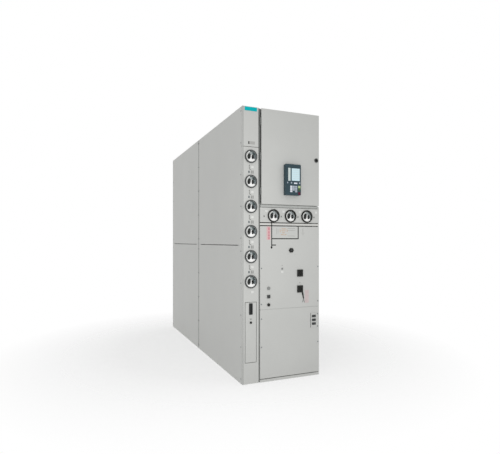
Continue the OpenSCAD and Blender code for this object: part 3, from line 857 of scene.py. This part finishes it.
class SWITCHGEAR_OT_relay(bpy.types.Operator):
    """Builds the relay's screen, lamp strip and keys on its front"""

    bl_idname = "switchgear.relay"
    bl_label = "Relay"

    sink, key_rise = 3.0, 1.8
    rule_pitch, lamp_pitch, pad_x, pad_z = 17, 10, 24, 14.5
    # Keys in a row: across and width
    row_keys = ((18, 10), (56, 12), (136, 12))
    # Columns of the keypad, from the left: number of keys and finish
    pads = {
        "relay_keypad": (4, "pale_silicone"),
        "relay_middle_keys": (3, "grey_silicone"),
        "relay_right_keys": (4, "grey_silicone"),
    }
    # Coloured keys: across and down from the upper left corner, width, height and finish
    coloured_keys = {
        "relay_green_key": (133, 196, 22, 20, "green_silicone"),
        "relay_dark_green_key": (133, 217, 22, 16, "dark_green_silicone"),
        "relay_red_key": (133, 253, 23, 24, "dark_red_silicone"),
    }

    def place(self, across, down, back=0.0):
        """A place on the relay's front from its upper left corner, or behind the front."""
        low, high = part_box("relay")
        return Vector((low.x, low.y, high.z)) + off(across, back, -down)

    def key(self, name, across, down, w, h):
        return round_edges(front_box(name, self.place(across, down), w, h, self.key_rise, (1, 0.5)), 0.6)

    def execute(self, context):
        screen = front_box("relay_screen", self.place(99.5, 89, self.sink), 79, 108, 1.2, (2, 0), (0.6, -0.5))
        put(screen, "display_film", DOOR)
        rules = [front_box("rule", self.place(99.5, 53 + self.rule_pitch * i, self.sink - 0.7), 66, 2.2, 0.3)
                 for i in range(5)]
        rules = join("relay_screen_rules", [round_edges(rule, 0.1, 1) for rule in rules])
        put(rules, "lamp_film", DOOR)
        strip = front_box("relay_lamp_strip", self.place(36.5, 89, self.sink), 23, 112, 1.2, (1.5, 0.4))
        put(strip, "lamp_film", DOOR)
        lamp = front_disc("lamp", self.place(29.5, 44, self.sink - 1.4), 2.6, 1.2, (0.8, 0.4), vertices=20)
        column = [off(0, 0, -self.lamp_pitch * i) for i in range(10)]
        put_copies("relay_lamps", round_edges(lamp, 0.3), column, "faint_print", DOOR)

        row = [self.key("row_key", x, 162, w, 13) for x, w in self.row_keys]
        put(join("relay_row_keys", row), "grey_silicone", DOOR)
        put(self.key("relay_wide_key", 97, 165, 33, 12), "pale_silicone", DOOR)
        for i, (name, (count, finish_name)) in enumerate(self.pads.items()):
            column = [off(self.pad_x * i, 0, -self.pad_z * j) for j in range(count)]
            put_copies(name, self.key("pad_key", 54, 194, 21, 12.5), column, finish_name, DOOR)
        for name, (*form, finish_name) in self.coloured_keys.items():
            put(self.key(name, *form), finish_name, DOOR)
        return {"FINISHED"}


class SWITCHGEAR_OT_fasteners(bpy.types.Operator):
    """Sets domed screws with a round recess along the covers' edges"""

    bl_idname = "switchgear.fasteners"
    bl_label = "Fasteners"

    # Places on the front: x and z; heights on the side and rear covers as shares of a cover's height
    front = ((177, 977), (177, 669), (177, 543), (177, 302), (738, 982), (738, 670), (738, 301))
    heights = {"lower": (0.035, 0.265, 0.495, 0.725, 0.955), "upper": (0.05, 0.28, 0.51, 0.74, 0.97)}
    edge = 10.0
    plate_x, plate_z = 8.0, 9.0

    def set_screws(self, name, turn, places):
        """Makes a screw, turns it away from the front, in degrees, and copies it to its places."""
        tall = size("screw_h")
        head = front_disc("screw", Vector((0, 0, 0)), size("screw_d") / 2, 0.6 * tall, (1.4, 0.3 * tall),
                          (1.4, 0.1 * tall), (0.9, 0), (0.25, -0.9), vertices=32)
        round_edges(head, 0.25)
        head.rotation_euler = (0, 0, math.radians(turn))
        put_copies(name, settle(head), places, "passivated_steel")

    def along(self, cover, level, axis):
        """Places along two edges of a cover, in its middle plane; the edges are apart in X (0) or Y (1)."""
        low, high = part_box(cover)
        places = []
        for value in (low[axis] + self.edge * MM, high[axis] - self.edge * MM):
            for share in self.heights[level]:
                place = (low + high) / 2
                place[axis] = value
                place.z = low.z + (high.z - low.z) * share
                places.append(place)
        return places

    def execute(self, context):
        low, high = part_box("tap_plate")
        front = [spot(x, z) for x, z in self.front]
        front += [Vector((high.x - self.plate_x * MM, low.y, z))
                  for z in (low.z + self.plate_z * MM, high.z - self.plate_z * MM)]
        self.set_screws("front_screws", 0, front)
        for side, turn, x in (("left", -90, CAD_BOX[0].x), ("right", 90, CAD_BOX[1].x)):
            places = []
            for part in ("front", "rear"):
                for level in self.heights:
                    places += self.along(f"{side}_{part}_{level}_side_cover", level, 1)
            self.set_screws(f"{side}_screws", turn, [Vector((x, p.y, p.z)) for p in places])
        places = []
        for level in self.heights:
            cover = f"rear_{level}_cover"
            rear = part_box(cover)[1].y
            places += [Vector((p.x, rear, p.z)) for p in self.along(cover, level, 0)]
        self.set_screws("rear_screws", 180, places)
        return {"FINISHED"}


class SWITCHGEAR_OT_door(bpy.types.Operator):
    """Lays the rubber gasket round the back of the low-voltage door"""

    bl_idname = "switchgear.door"
    bl_label = "Door"

    edge = 3.0

    def execute(self, context):
        low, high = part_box("lv_door")
        width = size("gasket")
        edge = self.edge
        far = Vector((high.x, low.y, high.z)) + off(-edge, edge + width, -edge)
        gasket = box("door_gasket", low + off(edge, edge, edge), far)

        def pierce():
            bpy.ops.mesh.inset(thickness=2 * width * MM, depth=0)
            bpy.ops.mesh.bridge_edge_loops()

        shape(gasket, lambda face: abs(face.normal.y) > 0.9, pierce)
        shape(gasket, lambda face: True, lambda: bpy.ops.mesh.normals_make_consistent(inside=False))
        put(round_edges(gasket, 0.8), "black_epdm", DOOR)
        return {"FINISHED"}


class SWITCHGEAR_OT_seals(bpy.types.Operator):
    """Closes the seams with black rubber and a mid-grey tongue, both painted shade of the gaps, and with
    caps; lays the strip's trim, black lines that are painted shade at its edges, and the door gap's liner,
    painted shade of that gap
    """

    bl_idname = "switchgear.seals"
    bl_label = "Seals"

    # Black rubber in the side seams, painted shade of the gaps: from and to behind the covers' faces, and
    # short of a cover's ends
    depth, reach, stop = 1.0, 9.0, 76.0
    trim_w, line_w, gap = 7.5, 1.5, 6.2

    def strip(self, low, high, width=0.4):
        return round_edges(box("strip", low, high), width)

    def execute(self, context):
        self.rubber()
        self.caps()
        self.trim()
        return {"FINISHED"}

    # Black rubber strips in the seams stand in for the shade inside the gaps: painted shade
    def rubber(self):
        strips = []
        for side, sign, x in (("left", 1, CAD_BOX[0].x), ("right", -1, CAD_BOX[1].x)):
            x0, x1 = sorted((x + sign * self.depth * MM, x + sign * self.reach * MM))
            front_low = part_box(f"{side}_front_lower_side_cover")
            front_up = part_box(f"{side}_front_upper_side_cover")
            rear_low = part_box(f"{side}_rear_lower_side_cover")
            strips.append(self.strip((x0, front_low[1].y, front_low[0].z),
                                     (x1, rear_low[0].y, front_up[1].z)))
            for low, high in (front_low, rear_low):
                strips.append(self.strip((x0, low.y + self.stop * MM, high.z),
                                         (x1, high.y - self.stop * MM, front_up[0].z)))
        low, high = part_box("cable_cover")
        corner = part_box("right_front_lower_side_cover")[0].y
        strips.append(self.strip((high.x - 17 * MM, high.y, low.z),
                                 (high.x - 1 * MM, corner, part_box("gauge_panel")[1].z)))
        # Black rubber in the seam between two covers one above the other, set back from the face that shows,
        # as painted shade of that gap
        for lower, upper, front_back, rear_back in (
                ("strip_cover", "strip_top_cover", 8, 0), ("rear_lower_cover", "rear_upper_cover", 0, 8)):
            low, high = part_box(lower)
            strips.append(self.strip((low.x + 1 * MM, low.y + front_back * MM, high.z),
                                     (high.x - 1 * MM, high.y - rear_back * MM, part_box(upper)[0].z)))
        put(join("seam_seals", strips), "black_epdm")

    def caps(self):
        stack = ("kick_plate", "cable_cover", "operating_panel", "light_band", "gauge_panel", "door_sill")
        right, back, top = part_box("cable_cover")[1]
        end = right - 0.4 * MM
        caps = [self.strip((right - 7 * MM, FRONT + 3 * MM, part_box(lower)[1].z),
                           (end, back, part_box(upper)[0].z))
                for lower, upper in zip(stack, stack[1:])]
        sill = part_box("door_sill")[0]
        caps.append(self.strip((right - 12 * MM, FRONT + 1 * MM, sill.z),
                               (end, sill.y + 6 * MM, sill.z + 20 * MM)))
        put(join("seam_end_caps", caps), "light_grey_powder_coat")
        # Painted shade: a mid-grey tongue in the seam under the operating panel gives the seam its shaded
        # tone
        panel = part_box("operating_panel")[0]
        tongue = box("seam_tongue", (panel.x + 4 * MM, panel.y + 1.2 * MM, top),
                     (right - 8 * MM, back, panel.z))
        put(round_edges(tongue, 0.4), "mid_grey_powder_coat")

    def trim(self):
        film = size("print_t")
        low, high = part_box("strip_cover")
        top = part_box("strip_top_cover")[1].z
        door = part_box("lv_door")[0]
        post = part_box("frame_posts")[0].y
        trim = box("corner_trim", low - off(0, film), (low.x + self.trim_w * MM, low.y, top))
        put(round_edges(trim, 0.2), "mid_grey_powder_coat")
        # Painted shade: black lines beside the corner trim and along the strip's right edge stand in for the
        # shade of the gaps there
        line = self.strip(low + off(self.trim_w, -film / 2),
                          (low.x + (self.trim_w + self.line_w) * MM, low.y, top), 0.1)
        right_edge_shade = self.strip(Vector((high.x, low.y, door.z)) + off(-1.5, -film / 2),
                            Vector((high.x, low.y, top)) + off(-0.3, film), 0.1)
        put(join("strip_edgings", [line, right_edge_shade]), "black_epdm")
        # Painted shade: a dark strip on the post gives the door's gap its shaded tone
        liner = box("door_gap_liner", (high.x, post - film * MM, door.z), (door.x - self.gap * MM, post, top))
        put(round_edges(liner, 0.1), "dark_hinge_paint")


class SWITCHGEAR_OT_access(bpy.types.Operator):
    """Adds finger ribs in the access cover's grip, a pin in its lock and a mark above the lock"""

    bl_idname = "switchgear.access"
    bl_label = "Access cover"

    rib_pitch = 12

    def execute(self, context):
        film = size("print_t")
        centre = front_centre("access_grip")
        centre.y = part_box("access_grip")[1].y
        rib = round_edges(front_box("rib", centre - off(0, 3), 17, 2.5, 3), 0.8)
        rows = [off(0, 0, self.rib_pitch * i) for i in range(-3, 4)]
        put_copies("grip_ribs", rib, rows, "black_abs")
        pin = front_disc("access_lock_pin", front_centre("access_lock") + off(0, 3), 3, 2.6, (0.8, 0.2),
                         vertices=24)
        put(round_edges(pin, 0.2), "black_abs")
        mark = front_box("access_mark", spot(78, 550), 14, 9, film, (1, 0.2 * film))
        put(mark, "label_print")
        return {"FINISHED"}


class SWITCHGEAR_OT_stage(bpy.types.Operator):
    """Sets the camera, a pale floor and soft studio light"""

    bl_idname = "switchgear.stage"
    bl_label = "Stage"

    def execute(self, context):
        stage = context.scene.switchgear_stage
        context.scene.view_settings.view_transform = "Standard"
        camera = bpy.data.cameras.new("camera")
        camera.lens = stage.focal_pixels / stage.frame_width * camera.sensor_width
        camera.shift_x, camera.shift_y = stage.shift
        eye = bpy.data.objects.new("camera", camera)
        eye.location = stage.eye
        eye.rotation_euler = (math.pi / 2, 0, stage.turn)
        context.collection.objects.link(eye)
        context.scene.camera = eye

        select_only()
        bpy.ops.mesh.primitive_plane_add(size=stage.floor_size, location=(0, 0, 0))
        floor = new_piece("studio_floor")
        floor.data.materials.append(self.floor_paint(stage))

        light = bpy.data.lights.new("front_light", "AREA")
        light.size = stage.key_size
        light.energy = stage.key_power
        lamp = bpy.data.objects.new("front_light", light)
        lamp.location = stage.key_place
        lamp.rotation_euler = FACING_FRONT
        lamp.visible_camera = False
        context.collection.objects.link(lamp)
        self.room(context.scene, stage)
        return {"FINISHED"}

    def seen_directly(self, tree):
        """1 where the camera, a mirror or glass looks at the background, 0 where it only lights."""
        path = add_node(tree, "ShaderNodeLightPath")
        seen = path.outputs["Is Camera Ray"]
        for kind in ("Is Glossy Ray", "Is Transmission Ray"):
            either = add_node(tree, "ShaderNodeMath", {0: seen, 1: path.outputs[kind]}, operation="MAXIMUM")
            seen = either.outputs[0]
        return seen

    def floor_paint(self, stage):
        """Matt studio paint: pale, with the faint mottle of a rolled floor, about 120 mm across.
        It thins out away from the object, so that the white room shows behind."""
        material, tree, coords = start_material("studio_paint")
        away = add_node(tree, "ShaderNodeVectorMath", {0: coords}, operation="LENGTH").outputs["Value"]
        thin = add_node(tree, "ShaderNodeMapRange", {
            "Value": away, "From Min": stage.floor_near, "From Max": stage.floor_far,
            "To Min": stage.floor_share, "To Max": 0.0})
        return end_material(material, tree, {
            "Base Color": shades(tree, noise(tree, coords, 120, 2.0), stage.floor, 0.01), "Roughness": 0.9,
            "Specular IOR Level": 0.0, "Alpha": thin.outputs["Result"]})

    def room(self, scene, stage):
        """A white background to look at, and an even room light on the object."""
        scene.world = bpy.data.worlds.new("studio")
        scene.world.use_nodes = True
        tree = scene.world.node_tree
        tree.nodes.clear()
        even, white = [add_node(tree, "ShaderNodeBackground", {"Color": (1, 1, 1, 1), "Strength": strength})
                       for strength in (stage.sky, 1.0)]
        mix = add_node(tree, "ShaderNodeMixShader", {
            0: self.seen_directly(tree), 1: even.outputs[0], 2: white.outputs[0]})
        add_node(tree, "ShaderNodeOutputWorld", {"Surface": mix.outputs[0]})


class SWITCHGEAR_PT_panel(bpy.types.Panel):
    """Lists the settings and the steps that dress the switchgear panel"""

    bl_label = "Switchgear"
    bl_idname = "SWITCHGEAR_PT_panel"
    bl_space_type = "VIEW_3D"
    bl_region_type = "UI"
    bl_category = "Switchgear"

    def draw(self, context):
        for group_name in GROUPS:
            group = getattr(context.scene, group_name)
            column = self.layout.column()
            for name in group.__annotations__:
                column.prop(group, name)
        for step in STEPS:
            self.layout.operator(step.bl_idname)


STEPS = (
    SWITCHGEAR_OT_stage,
    SWITCHGEAR_OT_finishes,
    SWITCHGEAR_OT_gauges,
    SWITCHGEAR_OT_labels,
    SWITCHGEAR_OT_mimic,
    SWITCHGEAR_OT_controls,
    SWITCHGEAR_OT_taps,
    SWITCHGEAR_OT_relay,
    SWITCHGEAR_OT_fasteners,
    SWITCHGEAR_OT_door,
    SWITCHGEAR_OT_seals,
    SWITCHGEAR_OT_access,
)
GROUPS = {
    "switchgear_sizes": SwitchgearSizes,
    "switchgear_colours": SwitchgearColours,
    "switchgear_stage": SwitchgearStage,
}
CLASSES = (*GROUPS.values(), *STEPS, SWITCHGEAR_PT_panel)


def register():
    for cls in CLASSES:
        bpy.utils.register_class(cls)
    for name, group in GROUPS.items():
        setattr(bpy.types.Scene, name, bpy.props.PointerProperty(type=group))


def unregister():
    for name in GROUPS:
        delattr(bpy.types.Scene, name)
    for cls in reversed(CLASSES):
        bpy.utils.unregister_class(cls)


def main():
    register()
    for step in STEPS:
        group, name = step.bl_idname.split(".")
        getattr(getattr(bpy.ops, group), name)()


if __name__ == "__main__":
    main()
